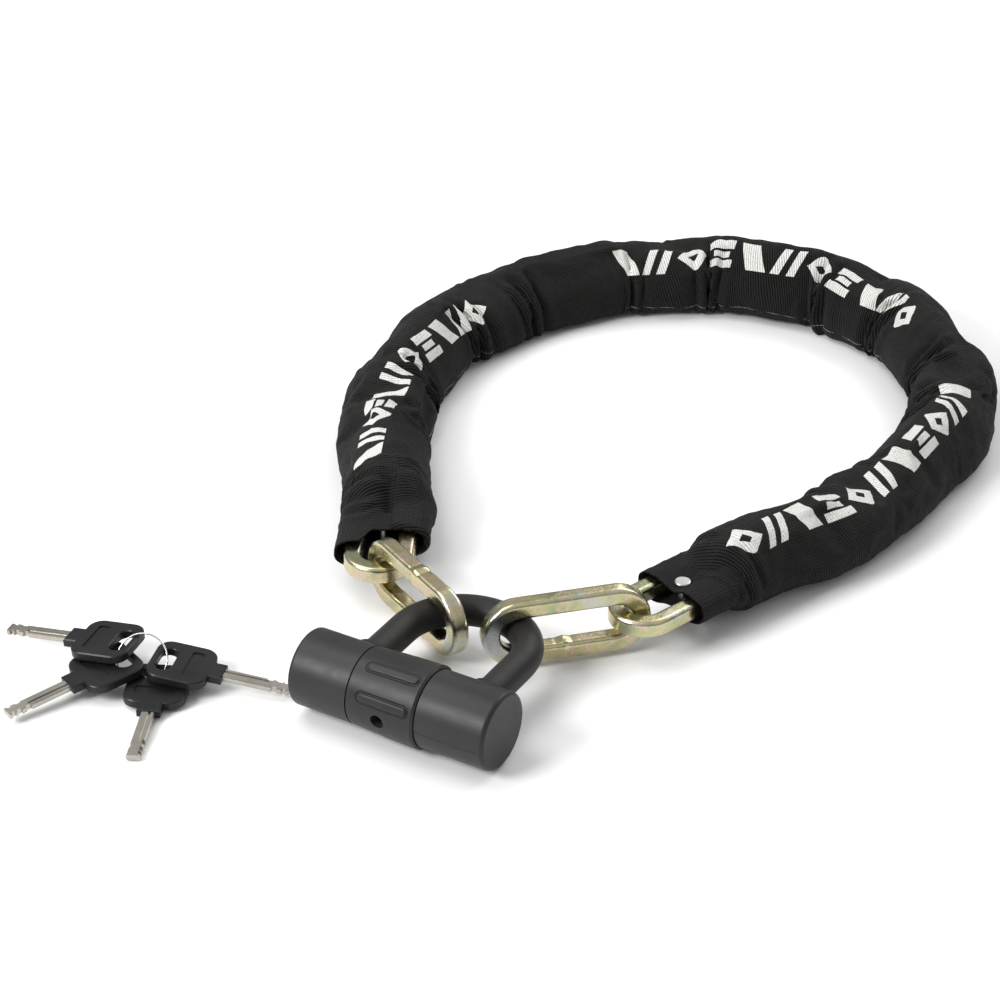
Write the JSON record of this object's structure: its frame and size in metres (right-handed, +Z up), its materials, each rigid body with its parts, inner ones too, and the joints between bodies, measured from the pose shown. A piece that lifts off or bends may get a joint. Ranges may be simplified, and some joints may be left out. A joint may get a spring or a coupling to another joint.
{
  "type": "chain lock",
  "caption": "Chain lock: a U shackle in a round crossbar with a turning keyhole collar joins both ends of a square-link chain in a woven nylon sleeve, with keys on a ring.",
  "frame": {"origin": "floor point under the centre of the bounding box", "axes": "+Z up; the crossbar lies along X near the -Y side, the shackle points along +Y and the chain loop lies flat on the floor beyond it"},
  "size_m": [0.382, 0.6584, 0.048],
  "materials": {
    "cover_plastic": "matte, fine grain",
    "collar_plastic": "matte",
    "grommet_rubber": "matte",
    "coat_vinyl": "smooth satin",
    "hard_steel": "ground",
    "cast_zinc": "cast",
    "brass": "machined",
    "yellow_zinc": "yellow passivated zinc",
    "woven_nylon": "ribbed plain weave",
    "rivet_steel": "polished",
    "key_plastic": "moulded",
    "key_nickel": "nickel plate"
  },
  "bodies": {
    "lock_body": {"crossbar_tube": "hard_steel", "end_plugs": "hard_steel", "plug_pins": "hard_steel", "left_cover": "cover_plastic", "right_cover": "cover_plastic", "leg_grommets": "grommet_rubber", "cylinder_shell": "brass", "bolt_housing": "cast_zinc"},
    "collar": {"keyhole_collar": "collar_plastic"},
    "core": {"cylinder_core": "brass", "detainer_discs": "brass", "drive_pinion": "hard_steel"},
    "left_bolt": {"left_bolt": "hard_steel"},
    "right_bolt": {"right_bolt": "hard_steel"},
    "shackle": {"shackle_bar": "hard_steel", "shackle_coat": "coat_vinyl"},
    "key_ring": {"key_ring": "rivet_steel"},
    "left_end_link": {"left_end_link": "yellow_zinc"},
    "link_01": {"link_01": "yellow_zinc", "sleeve_01": "woven_nylon", "left_rivet": "rivet_steel"},
    "link_02": {"link_02": "yellow_zinc", "sleeve_02": "woven_nylon"},
    "link_03": {"link_03": "yellow_zinc", "sleeve_03": "woven_nylon"},
    "link_04": {"link_04": "yellow_zinc", "sleeve_04": "woven_nylon"},
    "link_05": {"link_05": "yellow_zinc", "sleeve_05": "woven_nylon"},
    "link_06": {"link_06": "yellow_zinc", "sleeve_06": "woven_nylon"},
    "link_07": {"link_07": "yellow_zinc", "sleeve_07": "woven_nylon"},
    "link_08": {"link_08": "yellow_zinc", "sleeve_08": "woven_nylon"},
    "link_09": {"link_09": "yellow_zinc", "sleeve_09": "woven_nylon"},
    "link_10": {"link_10": "yellow_zinc", "sleeve_10": "woven_nylon"},
    "link_11": {"link_11": "yellow_zinc", "sleeve_11": "woven_nylon"},
    "link_12": {"link_12": "yellow_zinc", "sleeve_12": "woven_nylon"},
    "link_13": {"link_13": "yellow_zinc", "sleeve_13": "woven_nylon"},
    "link_14": {"link_14": "yellow_zinc", "sleeve_14": "woven_nylon"},
    "link_15": {"link_15": "yellow_zinc", "sleeve_15": "woven_nylon", "right_rivet": "rivet_steel"},
    "right_end_link": {"right_end_link": "yellow_zinc"},
    "key_a": {"key_a_head": "key_plastic", "key_a_blade": "key_nickel"},
    "key_b": {"key_b_head": "key_plastic", "key_b_blade": "key_nickel"},
    "key_c": {"key_c_head": "key_plastic", "key_c_blade": "key_nickel"},
    "key_d": {"key_d_head": "key_plastic", "key_d_blade": "key_nickel"}
  },
  "joints": [
    {"name": "collar_turn", "type": "hinge", "parent": "lock_body", "child": "collar", "pos_m": [0.03497, -0.23153, 0.02275], "axis": [1, 0, 0], "range_deg": [-70, 0]},
    {"name": "core_turn", "type": "hinge", "parent": "lock_body", "child": "core", "pos_m": [0.03197, -0.23153, 0.02275], "axis": [0, 0.9925, 0.1219], "range_deg": [0, 90]},
    {"name": "right_bolt_slide", "type": "slide", "parent": "lock_body", "child": "right_bolt", "axis": [1, 0, 0], "range_m": [0, 0.0064]},
    {"name": "left_bolt_slide", "type": "slide", "parent": "lock_body", "child": "left_bolt", "axis": [-1, 0, 0], "range_m": [0, 0.0064]},
    {"name": "shackle_slide", "type": "slide", "parent": "lock_body", "child": "shackle", "axis": [0, 1, 0], "range_m": [0, 0.05]},
    {"name": "left_shackle_pivot", "type": "hinge", "parent": "shackle", "child": "left_end_link", "pos_m": [0.0078, -0.15637, 0.02275], "axis": [0, 0, 1], "range_deg": [-5.1, 5.1]},
    {"name": "chain_pivot_01", "type": "hinge", "parent": "left_end_link", "child": "link_01", "pos_m": [-0.04631, -0.12846, 0.02275], "axis": [0, 0, 1], "range_deg": [-4.08, 4.08]},
    {"name": "chain_pivot_02", "type": "hinge", "parent": "link_01", "child": "link_02", "pos_m": [-0.07417, -0.07622, 0.02275], "axis": [0, 0, 1], "range_deg": [-8, 8]},
    {"name": "chain_pivot_03", "type": "hinge", "parent": "link_02", "child": "link_03", "pos_m": [-0.12055, -0.00739, 0.02275], "axis": [0, 0, 1], "range_deg": [-7.58, 7.58]},
    {"name": "chain_pivot_04", "type": "hinge", "parent": "link_03", "child": "link_04", "pos_m": [-0.14835, 0.04488, 0.02275], "axis": [0, 0, 1], "range_deg": [-4.72, 4.72]},
    {"name": "chain_pivot_05", "type": "hinge", "parent": "link_04", "child": "link_05", "pos_m": [-0.16039, 0.127, 0.02275], "axis": [0, 0, 1], "range_deg": [-1.31, 1.31]},
    {"name": "chain_pivot_06", "type": "hinge", "parent": "link_05", "child": "link_06", "pos_m": [-0.14559, 0.18432, 0.02275], "axis": [0, 0, 1], "range_deg": [-1.51, 1.51]},
    {"name": "chain_pivot_07", "type": "hinge", "parent": "link_06", "child": "link_07", "pos_m": [-0.09955, 0.25338, 0.02275], "axis": [0, 0, 1], "range_deg": [-3.67, 3.67]},
    {"name": "chain_pivot_08", "type": "hinge", "parent": "link_07", "child": "link_08", "pos_m": [-0.05145, 0.2879, 0.02275], "axis": [0, 0, 1], "range_deg": [-8, 8]},
    {"name": "chain_pivot_09", "type": "hinge", "parent": "link_08", "child": "link_09", "pos_m": [0.03015, 0.30308, 0.02275], "axis": [0, 0, 1], "range_deg": [-8.04, 8.04]},
    {"name": "chain_pivot_10", "type": "hinge", "parent": "link_09", "child": "link_10", "pos_m": [0.08708, 0.28685, 0.02275], "axis": [0, 0, 1], "range_deg": [-3.5, 3.5]},
    {"name": "chain_pivot_11", "type": "hinge", "parent": "link_10", "child": "link_11", "pos_m": [0.14677, 0.22919, 0.02275], "axis": [0, 0, 1], "range_deg": [-2.08, 2.08]},
    {"name": "chain_pivot_12", "type": "hinge", "parent": "link_11", "child": "link_12", "pos_m": [0.16498, 0.17286, 0.02275], "axis": [0, 0, 1], "range_deg": [-2.24, 2.24]},
    {"name": "chain_pivot_13", "type": "hinge", "parent": "link_12", "child": "link_13", "pos_m": [0.16337, 0.08987, 0.02275], "axis": [0, 0, 1], "range_deg": [-8, 8]},
    {"name": "chain_pivot_14", "type": "hinge", "parent": "link_13", "child": "link_14", "pos_m": [0.15155, 0.03186, 0.02275], "axis": [0, 0, 1], "range_deg": [-8.17, 8.17]},
    {"name": "chain_pivot_15", "type": "hinge", "parent": "link_14", "child": "link_15", "pos_m": [0.12027, -0.04502, 0.02275], "axis": [0, 0, 1], "range_deg": [-2.19, 2.19]},
    {"name": "chain_pivot_16", "type": "hinge", "parent": "link_15", "child": "right_end_link", "pos_m": [0.10211, -0.10136, 0.02275], "axis": [0, 0, 1], "range_deg": [-5, 5]},
    {"name": "key_ring_lift", "type": "slide", "parent": "lock_body", "child": "key_ring", "axis": [0, 0, 1], "range_m": [0, 0.06]},
    {"name": "key_a_swing", "type": "hinge", "parent": "key_ring", "child": "key_a", "pos_m": [-0.12376, -0.25825, 0.0176], "axis": [0, 0, 1], "range_deg": [-6, 6]},
    {"name": "key_b_swing", "type": "hinge", "parent": "key_ring", "child": "key_b", "pos_m": [-0.12387, -0.26398, 0.0113], "axis": [0, 0, 1], "range_deg": [-5, 5]},
    {"name": "key_c_swing", "type": "hinge", "parent": "key_ring", "child": "key_c", "pos_m": [-0.09983, -0.25983, 0.0053], "axis": [0, 0, 1], "range_deg": [-5, 5]},
    {"name": "key_d_swing", "type": "hinge", "parent": "key_ring", "child": "key_d", "pos_m": [-0.09896, -0.25362, 0.0118], "axis": [0, 0, 1], "range_deg": [-6, 6]}
  ],
  "couplings": [
    {"joint": "right_bolt_slide", "follows": "core_turn", "m_per_rad": 0.004},
    {"joint": "left_bolt_slide", "follows": "core_turn", "m_per_rad": 0.004},
    {"joint": "left_shackle_pivot", "follows": "chain_pivot_16", "ratio": -0.99019},
    {"joint": "chain_pivot_06", "follows": "chain_pivot_16", "ratio": 0.28616},
    {"joint": "chain_pivot_11", "follows": "chain_pivot_16", "ratio": -0.3977},
    {"joint": "chain_pivot_01", "follows": "chain_pivot_02", "ratio": -0.49376},
    {"joint": "chain_pivot_03", "follows": "chain_pivot_02", "ratio": -0.92314},
    {"joint": "chain_pivot_04", "follows": "chain_pivot_02", "ratio": 0.57196},
    {"joint": "chain_pivot_05", "follows": "chain_pivot_02", "ratio": -0.15507},
    {"joint": "chain_pivot_07", "follows": "chain_pivot_08", "ratio": -0.44354},
    {"joint": "chain_pivot_09", "follows": "chain_pivot_08", "ratio": -0.97934},
    {"joint": "chain_pivot_10", "follows": "chain_pivot_08", "ratio": 0.42288},
    {"joint": "chain_pivot_12", "follows": "chain_pivot_13", "ratio": -0.2681},
    {"joint": "chain_pivot_14", "follows": "chain_pivot_13", "ratio": -0.99476},
    {"joint": "chain_pivot_15", "follows": "chain_pivot_13", "ratio": 0.26285}
  ]
}
